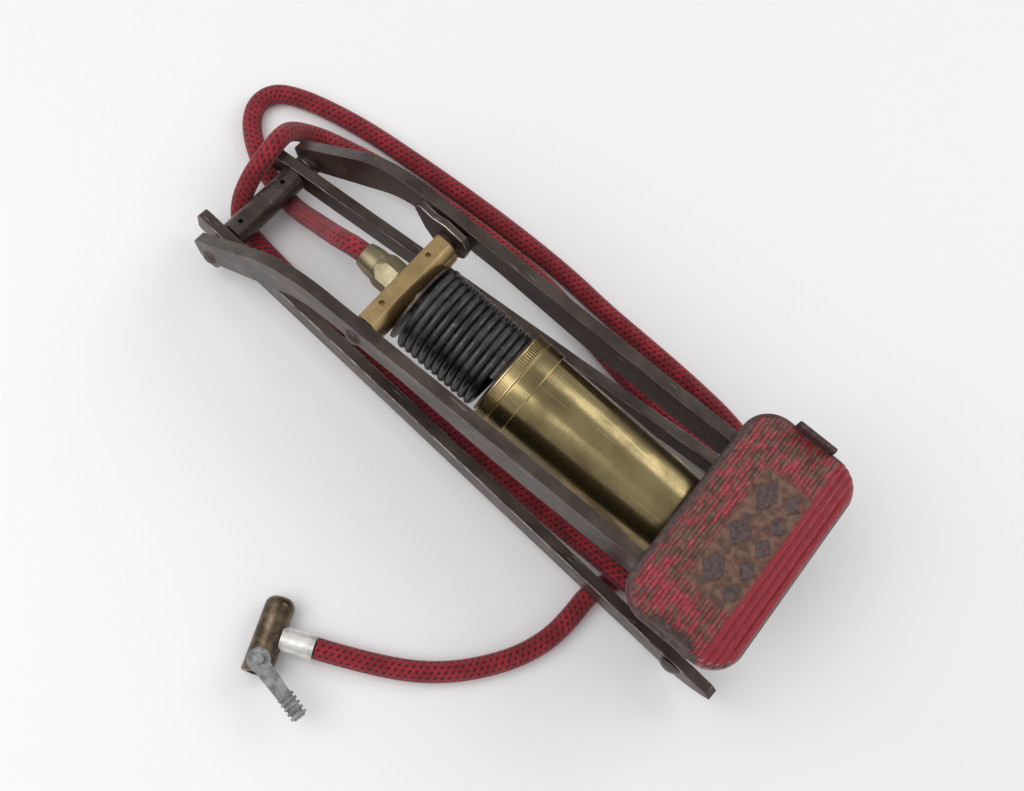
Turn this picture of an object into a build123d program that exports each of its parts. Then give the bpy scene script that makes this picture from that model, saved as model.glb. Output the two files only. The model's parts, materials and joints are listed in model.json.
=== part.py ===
from build123d import *
import os
from math import atan, cos, degrees, radians, sin, sqrt, tan

# Folding foot pump: two base rails, two swan-neck lever arms with a pedal, and between them a brass
# cylinder whose hollow rod carries the crosshead. The air leaves through the rod and a braided hose.
# Working frame: X from the rear pivot towards the pedal, Y across, Z up from the floor.
# The finished pieces are moved so that the origin is the centre of the pump's own box.

# --- overall sizes ---------------------------------------------------------------------------
RAIL_HEIGHT = 12.2
RAIL_THICK = 5.5
RAIL_REAR = -17.0
RAIL_FRONT = 303.0
RAIL_REAR_HALF_GAP = 22.0
RAIL_SPLAY = 4.0
RAIL_TOE = 25.0
PIVOT_HEIGHT = 6.5
FRONT_PIN_X = 280.0
ARM_THICK = 5.8
ARM_HALF_GAP = 31.2
ARM_TOP = 58.8
ARM_DEPTH = 12.8
ARM_FRONT_DEPTH = 17.5
ARM_FRONT = 264.0
ARM_RISE_SLOPE = 41.0
ARM_HEEL = 9.0
CROSSHEAD_X = 86.0
CROSSHEAD_PIN_Z = 49.0
PIN_RADIUS = 3.0
PIN_HEAD_RADIUS = 4.4
PIN_HEAD_HEIGHT = 1.8
SPACER_RADIUS = 6.5
PEDAL_REAR = 238.0
PEDAL_FRONT = 293.5
PEDAL_HALF_WIDTH = 55.4
PEDAL_THICK = 5.2
PEDAL_CORNER = 15.0
PEDAL_CROWN = 2.4
LIP_HEIGHT = 6.0
LIP_LENGTH = 20.0
LIP_THICK = 2.8

# --- cylinder, rod and spring, measured along the rod from the crosshead's centre -------------
AXIS_TILT = 4.86
AXIS_SIDE = -3.0
AXIS_DROP = 2.5
CROSSHEAD_RADIUS = 9.0
CROSSHEAD_REAR = 4.0
CROSSHEAD_FLAT = 8.6
CROSSHEAD_HALF_LENGTH = 26.2
ROD_RADIUS = 5.0
ROD_BORE = 1.6
VALVE_BORE = 2.5
VALVE_BALL = 2.3
VALVE_CHAMBER = 150.0
VALVE_SEAT = 156.0
ROD_END = 161.0
NUT_START = 4.2
HEX_FACE = 14.6
HEX_LENGTH = 10.0
DOME_LENGTH = 8.5
SPRING_WIRE = 3.9
SPRING_RADIUS = 18.2
SPRING_START = 11.0
SEAT_THICK = 1.2
RING_START = 59.0
RING_LENGTH = 6.2
RING_RADIUS = 23.3
CAP_LENGTH = 8.5
BARREL_RADIUS = 22.3
BARREL_WALL = 1.2
BARREL_END = 178.0
PLUG_LENGTH = 6.0
LUG_HALF_WIDTH = 8.0
LUG_RADIUS = 6.0

# --- catch, chuck and hose --------------------------------------------------------------------
CATCH_THICK = 3.4
CATCH_INNER = 25.6
HOSE_DIAMETER = 9.5
FERRULE_RADIUS = 5.6
FERRULE_LENGTH = 15.0
CHUCK_RADIUS = 6.6
CHUCK_LENGTH = 34.0
VALVE_SOCKET = 4.1
CHUCK_LEVER = 30.0

# --- clearances -------------------------------------------------------------------------------
RUN = 0.05
GAP = 0.3
HOSE_ROOM = 0.4
HOSE_DEPTH = 5.0

# --- worked out -------------------------------------------------------------------------------
LIFT = HOSE_DIAMETER + HOSE_ROOM
HOSE_Z = HOSE_DIAMETER / 2
PIVOT_Z = PIVOT_HEIGHT + LIFT
RAIL_TOP = RAIL_HEIGHT + LIFT
BORE_RADIUS = BARREL_RADIUS - BARREL_WALL
ARM_OUTER = ARM_HALF_GAP + ARM_THICK
CAP_START = RING_START + RING_LENGTH
CAP_END = CAP_START + CAP_LENGTH
PEDAL_TOP = ARM_TOP + LIFT + PEDAL_THICK
AXIS_Z = CROSSHEAD_PIN_Z - AXIS_DROP + LIFT
BOX_CENTRE_X = (RAIL_REAR + RAIL_FRONT) / 2 * cos(radians(RAIL_SPLAY)) - 0.2
BOX_CENTRE_Z = (LIFT + PEDAL_TOP + LIP_HEIGHT) / 2
HOME = Pos(-BOX_CENTRE_X, 0, -BOX_CENTRE_Z)
AXIS = Pos(CROSSHEAD_X, AXIS_SIDE, AXIS_Z) * Rot(0, AXIS_TILT, 0)


def rail_half_gap(x):
    """Half the clear width between the rails at a place along them."""
    return RAIL_REAR_HALF_GAP + x * tan(radians(RAIL_SPLAY))


def side_plate(outline, y_low, thick):
    """A plate of an X-Z outline, from y_low towards +Y."""
    return Pos(0, y_low, 0) * extrude(Plane.XZ * outline, -thick)


def cross_pin(x, z, radius, y_low, y_high):
    """A round bar across the pump."""
    return Pos(x, y_low, z) * Rot(-90, 0, 0) * Cylinder(
        radius, y_high - y_low, align=(Align.CENTER, Align.CENTER, Align.MIN)
    )


def rivet_head(x, z, y, side, radius=PIN_HEAD_RADIUS, height=PIN_HEAD_HEIGHT):
    """A low domed head whose flat face is at y and whose dome points to the side given."""
    big = (radius**2 + height**2) / (2 * height)
    cap = Sphere(big) & Pos(0, 0, big - height) * Cylinder(
        radius, height, align=(Align.CENTER, Align.CENTER, Align.MIN)
    )
    return Pos(x, y, z) * Rot(-90 * side, 0, 0) * Pos(0, 0, height - big) * cap


def along(start, end, outer, inner=0.0):
    """A round piece on the rod's axis, between two distances from the crosshead."""
    body = Cylinder(outer, end - start, align=(Align.CENTER, Align.CENTER, Align.MIN))
    if inner:
        body -= Cylinder(inner, end - start, align=(Align.CENTER, Align.CENTER, Align.MIN))
    return AXIS * Pos(start, 0, 0) * Rot(0, 90, 0) * body


def rail(side):
    """One straight bar on edge, with a turned-up toe and a rounded heel."""
    top = RAIL_HEIGHT
    heel = Polyline((RAIL_FRONT - RAIL_TOE, 0), (RAIL_REAR, 0), (RAIL_REAR, top), (RAIL_FRONT - 3, top))
    nose = Line((RAIL_FRONT - 3, top), (RAIL_FRONT, top - 3))
    toe = ThreePointArc(
        (RAIL_FRONT, top - 3), (RAIL_FRONT - RAIL_TOE * 0.42, top * 0.18), (RAIL_FRONT - RAIL_TOE, 0)
    )
    outline = make_face([heel, nose, toe])
    rear = outline.vertices().filter_by(lambda v: v.X < RAIL_REAR + 1)
    outline = fillet(rear, 2.5)
    bar = extrude(Plane.XZ * outline, -RAIL_THICK)
    bar = Pos(0, RAIL_REAR_HALF_GAP, LIFT) * Rot(0, 0, RAIL_SPLAY) * bar
    bar -= cross_pin(0, PIVOT_Z, PIN_RADIUS + RUN, 0, ARM_OUTER)
    bar -= cross_pin(FRONT_PIN_X, PIVOT_Z, PIN_RADIUS + RUN, 0, 2 * ARM_OUTER)
    return bar if side > 0 else mirror(bar, Plane.XZ)


def arm(side):
    """One swan-neck lever arm: it rises from the pivot and runs level to the pedal."""
    rise = tan(radians(ARM_RISE_SLOPE))
    knee = 44.5
    heel_z = ARM_TOP - (knee + ARM_HEEL) * rise
    low = ARM_TOP - ARM_DEPTH
    front_low = ARM_TOP - ARM_FRONT_DEPTH
    points = [
        (-ARM_HEEL, heel_z),
        (knee, ARM_TOP),
        (ARM_FRONT, ARM_TOP),
        (ARM_FRONT, front_low),
        (165, front_low),
        (112, low),
        (58.2, low),
        (0, 2.4),
        (-5.5, 3.0),
    ]
    outline = make_face(Polyline(*points, close=True))
    corners = outline.vertices()
    outline = fillet(corners.sort_by_distance((knee, ARM_TOP))[0], 62)
    outline = fillet(outline.vertices().sort_by_distance((58.2, low))[0], 42)
    outline = fillet(outline.vertices().sort_by_distance((112, low))[0], 60)
    outline = fillet(outline.vertices().sort_by_distance((-ARM_HEEL, heel_z))[0], 1.5)
    eye = Pos(0, PIVOT_HEIGHT) * Circle(PIVOT_HEIGHT - GAP)
    outline = outline + eye
    plate = side_plate(outline, ARM_HALF_GAP, ARM_THICK).moved(Location((0, 0, LIFT)))
    plate -= cross_pin(0, PIVOT_Z, PIN_RADIUS + RUN, ARM_HALF_GAP - 1, ARM_OUTER + 1)
    plate -= cross_pin(
        CROSSHEAD_X, CROSSHEAD_PIN_Z + LIFT, PIN_RADIUS + RUN, ARM_HALF_GAP - 1, ARM_OUTER + 1
    )
    return plate if side > 0 else mirror(plate, Plane.XZ)


def spacer_tube():
    """The tube that keeps the rails apart at the rear pivot, with its two oil holes."""
    half = RAIL_REAR_HALF_GAP - GAP - SPACER_RADIUS * tan(radians(RAIL_SPLAY))
    tube = cross_pin(0, PIVOT_Z, SPACER_RADIUS, -half, half)
    tube -= cross_pin(0, PIVOT_Z, PIN_RADIUS + RUN, -half, half)
    for y in (-half * 0.72, half * 0.62):
        tube -= Pos(0, y, PIVOT_Z + SPACER_RADIUS) * Cylinder(1.2, 2 * SPACER_RADIUS)
    return tube


def pivot_washers():
    """The collars that fill the gap between each rail and its lever arm."""
    rings = []
    inner = rail_half_gap(0) + RAIL_THICK / cos(radians(RAIL_SPLAY)) + GAP
    for side in (-1, 1):
        low, high = sorted((side * (inner + 0.35), side * (ARM_HALF_GAP - 0.05)))
        ring = cross_pin(0, PIVOT_Z, SPACER_RADIUS - GAP, low, high)
        rings.append(ring - cross_pin(0, PIVOT_Z, PIN_RADIUS + RUN, low, high))
    return Compound(children=rings)


def rear_pivot_pin():
    """The long rivet through tube, rails and arms, headed at both ends."""
    reach = ARM_OUTER + RUN
    pin = cross_pin(0, PIVOT_Z, PIN_RADIUS, -reach, reach)
    return pin + rivet_head(0, PIVOT_Z, reach, 1) + rivet_head(0, PIVOT_Z, -reach, -1)


def front_pin_rivets():
    """The headed ends of the front cross pin, fast in the rails."""
    ends = []
    for side in (-1, 1):
        inner = rail_half_gap(FRONT_PIN_X) + GAP
        outer = rail_half_gap(FRONT_PIN_X) + RAIL_THICK + 2 * GAP
        low, high = sorted((side * inner, side * outer))
        stub = cross_pin(FRONT_PIN_X, PIVOT_Z, PIN_RADIUS, low, high)
        ends.append(stub + rivet_head(FRONT_PIN_X, PIVOT_Z, side * outer, side, 5.4, 2.0))
    return Compound(children=ends)


def front_pin():
    """The middle of the front cross pin, which turns with the cylinder's foot."""
    reach = rail_half_gap(FRONT_PIN_X - PIN_RADIUS) - GAP
    return cross_pin(FRONT_PIN_X, PIVOT_Z, PIN_RADIUS, -reach, reach)


def foot_spacers():
    """Tubes that keep the cylinder's foot in the middle of the front pin."""
    tubes = []
    reach = rail_half_gap(FRONT_PIN_X - 5) - 2 * GAP
    for side in (-1, 1):
        low, high = sorted((side * (LUG_HALF_WIDTH + RUN), side * reach))
        tube = cross_pin(FRONT_PIN_X, PIVOT_Z, 4.6, low, high)
        tubes.append(tube - cross_pin(FRONT_PIN_X, PIVOT_Z, PIN_RADIUS + RUN, low, high))
    return Compound(children=tubes)


def crosshead_pins():
    """The two short rivets that hang the crosshead between the arms."""
    z = CROSSHEAD_PIN_Z + LIFT
    pins = []
    for side in (-1, 1):
        inner = AXIS_SIDE * side + CROSSHEAD_HALF_LENGTH - 8
        low, high = sorted((side * inner, side * (ARM_OUTER + RUN)))
        pin = cross_pin(CROSSHEAD_X, z, PIN_RADIUS, low, high)
        pins.append(pin + rivet_head(CROSSHEAD_X, z, side * (ARM_OUTER + RUN), side))
    return Compound(children=pins)


def crosshead():
    """A D-section bar: flat behind and on top, round in front, with two drilled holes on top."""
    section = Circle(CROSSHEAD_RADIUS)
    section &= Pos(CROSSHEAD_RADIUS - CROSSHEAD_REAR, CROSSHEAD_FLAT - CROSSHEAD_RADIUS) * Rectangle(
        2 * CROSSHEAD_RADIUS, 2 * CROSSHEAD_RADIUS
    )
    half = CROSSHEAD_HALF_LENGTH
    bar = extrude(Plane.XZ * section, half, both=True)
    bar -= Rot(0, 90, 0) * Cylinder(ROD_RADIUS + RUN, 4 * CROSSHEAD_RADIUS)
    bar += Rot(0, 90, 0) * (Cylinder(ROD_RADIUS + 2, 2 * CROSSHEAD_REAR) - Cylinder(ROD_RADIUS + RUN, 20))
    for y in (-15.4, 15.4):
        bar -= Pos(-0.5, y, CROSSHEAD_FLAT) * Cylinder(1.3, 5)
    bar = AXIS * bar
    for side in (-1, 1):
        low, high = sorted((side * 14.5, side * 40))
        bar -= cross_pin(CROSSHEAD_X, CROSSHEAD_PIN_Z + LIFT, PIN_RADIUS + RUN, low, high)
    return bar


def union_nut():
    """The hexagon nut with a domed end that clamps the hose to the crosshead."""
    hexagon = RegularPolygon(HEX_FACE / sqrt(3), 6)
    body = extrude(hexagon, HEX_LENGTH)
    body &= Cone(
        HEX_FACE / sqrt(3) + 3, HEX_FACE / 2 - 0.4, HEX_LENGTH, align=(Align.CENTER, Align.CENTER, Align.MIN)
    )
    waist = HEX_FACE / 2 - 0.3
    mouth = HOSE_DIAMETER / 2 + 0.8
    rim = (mouth, HEX_LENGTH + DOME_LENGTH)
    arc = ThreePointArc((waist, HEX_LENGTH), (waist - 0.5, HEX_LENGTH + DOME_LENGTH * 0.6), rim)
    side = Polyline(rim, (0, rim[1]), (0, HEX_LENGTH), (waist, HEX_LENGTH))
    dome = revolve(Plane.XZ * make_face([arc, side]), Axis.Z)
    nut = body + dome
    nut -= Cylinder(ROD_RADIUS - 1 + RUN, 4 * HEX_LENGTH)
    nut -= Pos(0, 0, HEX_LENGTH + DOME_LENGTH) * Cylinder(HOSE_DIAMETER / 2 + RUN, 2 * HOSE_DEPTH)
    return AXIS * Pos(-NUT_START, 0, 0) * Rot(0, -90, 0) * nut


def hose_nipple():
    """The little tube inside the nut that the hose is pushed on."""
    end = NUT_START + HEX_LENGTH + DOME_LENGTH - HOSE_DEPTH - RUN
    return along(-end, -NUT_START + GAP / 2, ROD_RADIUS - 1, 1.4)


def piston_rod():
    """Hollow rod that leads the air up to the hose, with a chamber for the check ball at its foot."""
    rod = along(-CROSSHEAD_REAR + GAP / 2, ROD_END, ROD_RADIUS, ROD_BORE)
    return rod - along(VALVE_CHAMBER, ROD_END, VALVE_BORE)


def helix_spring():
    """Round-wire spring, closed coil on coil while the pump is folded."""
    start = SPRING_START + SPRING_WIRE / 2
    end = RING_START - SEAT_THICK - GAP - SPRING_WIRE / 2
    pitch = SPRING_WIRE + 0.06
    path = Helix(pitch=pitch, height=end - start, radius=SPRING_RADIUS)
    wire = sweep(Plane(origin=path @ 0, z_dir=path % 0) * Circle(SPRING_WIRE / 2 - 0.02), path=path)
    return AXIS * Pos(start, 0, 0) * Rot(0, 90, 0) * wire


def knurled_ring():
    """The gripped ring that closes the cylinder's head."""
    ring = along(RING_START, CAP_START, RING_RADIUS, ROD_RADIUS + 3)
    edges = ring.edges().filter_by(GeomType.CIRCLE)
    return chamfer(edges.filter_by(lambda e: e.radius > RING_RADIUS - 0.1), 0.5)


def cap_band():
    """The smooth brass band below the knurling, which screws over the barrel."""
    return along(CAP_START + RUN, CAP_END, RING_RADIUS, BARREL_RADIUS + RUN)


def barrel():
    """The drawn brass tube."""
    return along(CAP_START + GAP, BARREL_END, BARREL_RADIUS, BORE_RADIUS)


def rod_guide():
    """The flanged bush in the head that the rod slides through."""
    bush = along(RING_START, CAP_START + 6, ROD_RADIUS + 3 - RUN, ROD_RADIUS + RUN)
    return bush + along(CAP_START + RUN, CAP_START + 2, BORE_RADIUS - GAP, ROD_RADIUS + 2)


def head_felt():
    """An oiled felt ring below the bush."""
    return along(CAP_START + 2 + RUN, CAP_START + 5, BORE_RADIUS - 4, ROD_RADIUS + 3 + RUN)


def piston_body():
    return along(VALVE_CHAMBER - 3, VALVE_CHAMBER + 1, BORE_RADIUS - 1.2, ROD_RADIUS + RUN)


def cup_leather():
    """The leather cup, whose lip seals on the bore as the piston goes down."""
    start = VALVE_CHAMBER + 1 + RUN
    base = along(start, start + 2, BORE_RADIUS - 0.1, ROD_RADIUS + RUN)
    return base + along(start + 2, start + 9, BORE_RADIUS - 0.1, BORE_RADIUS - 1.9)


def cup_retainer():
    start = VALVE_CHAMBER + 3 + 2 * RUN
    return along(start, start + 2.5, BORE_RADIUS - 2.4, ROD_RADIUS + RUN)


def piston_nut():
    start = VALVE_CHAMBER + 5.5 + 3 * RUN
    nut = extrude(RegularPolygon(9.2, 6), 4.5) - Cylinder(ROD_RADIUS + RUN, 20)
    return AXIS * Pos(start, 0, 0) * Rot(0, 90, 0) * nut


def valve_seat():
    """The ring in the rod's foot that the check ball rests on; air coming up lifts the ball off it."""
    return along(VALVE_SEAT, VALVE_SEAT + 2, VALVE_BORE - RUN, ROD_BORE)


def check_ball():
    return AXIS * Pos(VALVE_SEAT - VALVE_BALL - RUN, 0, 0) * Sphere(VALVE_BALL)


def base_plug():
    """The cast foot: a plug in the barrel's end with a lug that hangs down to the front pin."""
    plug = along(BARREL_END + RUN, BARREL_END + PLUG_LENGTH, BARREL_RADIUS)
    plug += along(BARREL_END - 5, BARREL_END + 1, BORE_RADIUS - RUN)
    tail_x = CROSSHEAD_X + (BARREL_END + PLUG_LENGTH / 2) * cos(radians(AXIS_TILT))
    tail_z = AXIS_Z - (BARREL_END + PLUG_LENGTH / 2) * sin(radians(AXIS_TILT))
    lug = make_face(
        Polyline(
            (tail_x, tail_z - BARREL_RADIUS + 4),
            (tail_x + 1, tail_z + 8),
            (FRONT_PIN_X + LUG_RADIUS - 1, PIVOT_Z + 3),
            (FRONT_PIN_X - 2, PIVOT_Z - LUG_RADIUS + 0.4),
            close=True,
        )
    )
    lug += Pos(FRONT_PIN_X, PIVOT_Z) * Circle(LUG_RADIUS)
    plug += side_plate(lug, -LUG_HALF_WIDTH, 2 * LUG_HALF_WIDTH)
    return plug - cross_pin(FRONT_PIN_X, PIVOT_Z, PIN_RADIUS + RUN, -LUG_HALF_WIDTH, LUG_HALF_WIDTH)


def plug_gasket():
    return along(BARREL_END - 7, BARREL_END - 5 - RUN, BORE_RADIUS - RUN)


def catch_plate():
    """The hooked plate on the crosshead's right-hand pin."""
    z = CROSSHEAD_PIN_Z + LIFT
    points = [(-19, 7.5), (-17, 11.5), (-9, 10.0), (-2, 11.5), (8, 9.5), (12, 5), (11, -3), (4, -9), (-5, -8), (-12, -2)]
    outline = make_face(Polyline(*[(CROSSHEAD_X + dx, z + dz) for dx, dz in points], close=True))
    outline = fillet(outline.vertices(), 1.6)
    plate = side_plate(outline, CATCH_INNER, CATCH_THICK)
    return plate - cross_pin(CROSSHEAD_X, z, PIN_RADIUS + RUN, CATCH_INNER - 1, CATCH_INNER + CATCH_THICK + 1)


def catch_washers():
    """Thin washers either side of the catch."""
    z = CROSSHEAD_PIN_Z + LIFT
    rings = []
    spans = (
        (AXIS_SIDE + CROSSHEAD_HALF_LENGTH + RUN, CATCH_INNER - RUN),
        (CATCH_INNER + CATCH_THICK + RUN, ARM_HALF_GAP - RUN),
    )
    for low, high in spans:
        ring = cross_pin(CROSSHEAD_X, z, PIN_RADIUS + 2.2, low, high)
        rings.append(ring - cross_pin(CROSSHEAD_X, z, PIN_RADIUS + RUN, low, high))
    return Compound(children=rings)


def pedal():
    """The cast foot plate: ribs along it, a panel of raised treads and a lip at each end."""
    width = 2 * PEDAL_HALF_WIDTH
    depth = PEDAL_FRONT - PEDAL_REAR
    middle = (PEDAL_FRONT + PEDAL_REAR) / 2
    under = ARM_TOP + LIFT + RUN
    slab = extrude(RectangleRounded(depth, width, PEDAL_CORNER), PEDAL_THICK - RUN)
    slab = fillet(slab.faces().sort_by(Axis.Z)[-1].edges(), PEDAL_CROWN)
    for side in (-1, 1):
        post = Pos(0, side * (PEDAL_HALF_WIDTH - LIP_THICK / 2 - 0.6), PEDAL_THICK - 1)
        slab += post * Box(LIP_LENGTH, LIP_THICK, LIP_HEIGHT + 1, align=(Align.CENTER, Align.CENTER, Align.MIN))
    return Pos(middle, 0, under) * slab


def pedal_rivets():
    """Rivets through the pedal's cheeks into the arms, seen from below."""
    heads = []
    for side in (-1, 1):
        for x in (PEDAL_REAR + 8, ARM_FRONT - 6):
            z = ARM_TOP + LIFT - ARM_FRONT_DEPTH / 2
            heads.append(rivet_head(x, z, side * (ARM_OUTER + GAP / 3), side, 3.4, 1.4))
    return Compound(children=heads)


def pedal_cheeks():
    """Angle brackets inside the arms that carry the pedal."""
    blocks = []
    length = ARM_FRONT - PEDAL_REAR - 6
    for side in (-1, 1):
        y = side * (ARM_HALF_GAP - 1.5 - RUN)
        block = Pos(PEDAL_REAR + 3 + length / 2, y, ARM_TOP + LIFT - 5) * Box(length, 3, 10)
        blocks.append(block)
    return Compound(children=blocks)


# --- the hose's route, on the floor except where it climbs to the nut or over itself ----------
def halfway(first, second):
    """The point midway between two, where one hose piece hands over to the next."""
    return tuple((a + b) / 2 for a, b in zip(first, second))


IN_NUT = (AXIS * Pos(HOSE_DEPTH - NUT_START - HEX_LENGTH - DOME_LENGTH, 0, 0)).position
OFF_NUT = (AXIS * Pos(-3 - NUT_START - HEX_LENGTH - DOME_LENGTH, 0, 0)).position
LEAD_FOOT = (25.5, 7.6, 23.5)
LOOP_HEAD = (8, 13.4, 5.3)
LOOP_FOOT = (40, -16.5, HOSE_Z)
OVER_HEAD = (2, -12.2, 4.75)
OVER_FOOT = (-4.5, 52.5, 7.6)
TAIL_HEAD = (32, 62, HOSE_Z)
LEAD_ROUTE = [
    (IN_NUT.X, IN_NUT.Y, IN_NUT.Z), (OFF_NUT.X, OFF_NUT.Y, OFF_NUT.Z), (49, -2, 51.5), (38, 2.6, 38),
    LEAD_FOOT, halfway(LEAD_FOOT, LOOP_HEAD),
]
LOOP_ROUTE = [
    halfway(LEAD_FOOT, LOOP_HEAD), LOOP_HEAD, (-6, 16.2, HOSE_Z), (-20.5, 20.3, HOSE_Z), (-33, 27.8, HOSE_Z),
    (-42.2, 36.2, HOSE_Z), (-46.4, 46, HOSE_Z), (-44, 55.6, HOSE_Z), (-34, 61.8, HOSE_Z), (-18, 66.8, HOSE_Z),
    (3, 71, HOSE_Z), (28, 73.4, HOSE_Z), (60, 75.8, HOSE_Z), (95, 77.2, HOSE_Z), (130, 76.8, HOSE_Z),
    (155, 74.2, HOSE_Z), (181, 73.4, HOSE_Z), (210, 72, HOSE_Z), (240, 69, HOSE_Z), (268, 57.5, HOSE_Z),
    (288, 36, HOSE_Z), (291, 8, HOSE_Z), (279, -14, HOSE_Z), (262, -26, 11), (247, -29.5, 15.4),
    (232, -29.0, 15.2), (214, -26.8, 8.6), (196, -25.5, HOSE_Z), (168, -24.6, HOSE_Z), (138, -24.8, HOSE_Z),
    (106, -22.5, HOSE_Z), (72, -19.5, HOSE_Z), LOOP_FOOT, halfway(LOOP_FOOT, OVER_HEAD),
]
OVER_ROUTE = [
    halfway(LOOP_FOOT, OVER_HEAD), OVER_HEAD, (-7.5, -9.2, 5.5), (-12.8, -2, 11.5), (-14, 7.5, 20.5),
    (-13.4, 17.5, 27.5), (-14.8, 27.5, 28.3), (-16.6, 36.5, 22.4), (-13.5, 45, 13.5), OVER_FOOT,
    halfway(OVER_FOOT, TAIL_HEAD),
]
TAIL_ROUTE = [
    halfway(OVER_FOOT, TAIL_HEAD), TAIL_HEAD, (68, 65.8, HOSE_Z), (104, 66.6, HOSE_Z), (136, 64, HOSE_Z),
    (167, 56.5, HOSE_Z), (204, 49.8, HOSE_Z), (234, 48.8, HOSE_Z), (258, 44, HOSE_Z), (272, 30, HOSE_Z),
    (273, 12, HOSE_Z), (262, -4, HOSE_Z), (245, -20, HOSE_Z), (233.5, -39, HOSE_Z), (233.8, -57, HOSE_Z),
    (231.5, -73, HOSE_Z), (223, -91, HOSE_Z), (206, -111.5, HOSE_Z), (183, -127, HOSE_Z), (156, -139, 6.7),
]


def hose(route, name):
    """A tube along straight runs joined by arcs as large as the runs allow."""
    points = [Vector(*p) for p in route]
    radii = []
    for before, here, after in zip(points, points[1:], points[2:]):
        turn = (here - before).get_angle(after - here)
        shorter = min((here - before).length, (after - here).length)
        radii.append(0.45 * shorter / tan(radians(turn / 2)))
    path = FilletPolyline(*points, radius=radii)
    tube = sweep(Plane(origin=path @ 0, z_dir=path % 0) * Circle(HOSE_DIAMETER / 2), path=path)
    ideal = path.length * 3.14159265 * HOSE_DIAMETER**2 / 4
    print(f"{name}: length {path.length:.1f}, least radius {min(radii):.1f}, volume {tube.volume / ideal:.4f}")
    print("   radii", [round(r) for r in radii])
    return tube


# --- the chuck at the hose's end --------------------------------------------------------------
def chuck_place():
    """Where the ferrule meets the hose, with local X along the ferrule."""
    last, end = Vector(*TAIL_ROUTE[-2]), Vector(*TAIL_ROUTE[-1])
    heading = degrees(atan((end.Y - last.Y) / (end.X - last.X))) + 180
    return Pos(end.X, end.Y, CHUCK_RADIUS + 0.1) * Rot(0, 0, heading)


CHUCK_AXIS_X = FERRULE_LENGTH + CHUCK_RADIUS - 1.5
CHUCK = chuck_place()
CHUCK_HUB_Y = CHUCK_LENGTH / 2 - 5.0
CHUCK_SKEW = -2.0


def ferrule():
    """The pale crimped sleeve between hose and chuck."""
    sleeve = Rot(0, 90, 0) * Cylinder(FERRULE_RADIUS, FERRULE_LENGTH, align=(Align.CENTER, Align.CENTER, Align.MIN))
    neck = Pos(CHUCK_AXIS_X, 0, 0) * Rot(0, 0, CHUCK_SKEW) * Rot(90, 0, 0)
    sleeve -= neck * Cylinder(CHUCK_RADIUS + RUN, CHUCK_LENGTH)
    return CHUCK * Pos(0, 0, 0) * (sleeve - Box(2 * GAP, 20, 20))


def chuck_body():
    """The bronze tube, round at its blind end and open where the tyre valve goes in."""
    body = Rot(90, 0, 0) * Cylinder(CHUCK_RADIUS, CHUCK_LENGTH)
    blind = body.faces().sort_by(Axis.Y)[0]
    body = fillet(blind.edges(), 4.5)
    body -= Pos(0, CHUCK_LENGTH / 2 - 3.5, 0) * Rot(90, 0, 0) * Cylinder(VALVE_SOCKET, 9.0)
    body -= Pos(0, CHUCK_LENGTH / 2 - 11, 0) * Rot(90, 0, 0) * Cylinder(VALVE_SOCKET + 0.6, 6 + 2 * RUN)
    body -= Pos(0, CHUCK_HUB_Y, CHUCK_RADIUS - 0.4) * Cylinder(5.2, 1.8)
    return CHUCK * Pos(CHUCK_AXIS_X, 0, 0) * Rot(0, 0, CHUCK_SKEW) * body


def chuck_washer():
    """The rubber that grips the tyre valve."""
    ring = Rot(90, 0, 0) * (Cylinder(VALVE_SOCKET + 0.6 - RUN, 6) - Cylinder(3.0, 6))
    return CHUCK * Pos(CHUCK_AXIS_X, 0, 0) * Rot(0, 0, CHUCK_SKEW) * Pos(0, CHUCK_LENGTH / 2 - 11, 0) * ring


def chuck_hub():
    return CHUCK * Pos(CHUCK_AXIS_X, 0, 0) * Rot(0, 0, CHUCK_SKEW) * Pos(0, CHUCK_HUB_Y, CHUCK_RADIUS - 1.3 + GAP)


def chuck_pin():
    """The rivet that the thumb lever turns on."""
    head = Pos(0, 0, 4.6) * Cylinder(2.4, 1.0, align=(Align.CENTER, Align.CENTER, Align.MIN))
    stem = Pos(0, 0, -GAP) * Cylinder(1.6, 5.0, align=(Align.CENTER, Align.CENTER, Align.MIN))
    return chuck_hub() * (head + stem)


def chuck_lever():
    """The zinc thumb lever with a round hub and a ribbed tip."""
    lever = Circle(5.0) + make_face(
        Polyline((-3.2, 0), (-2.0, CHUCK_LEVER), (3.2, CHUCK_LEVER), (4.4, 0), close=True)
    )
    solid = extrude(lever, 3.0)
    solid -= Cylinder(1.6 + RUN, 20)
    return chuck_hub() * Pos(0, 0, 1.5) * Rot(0, 0, 56) * solid


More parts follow.
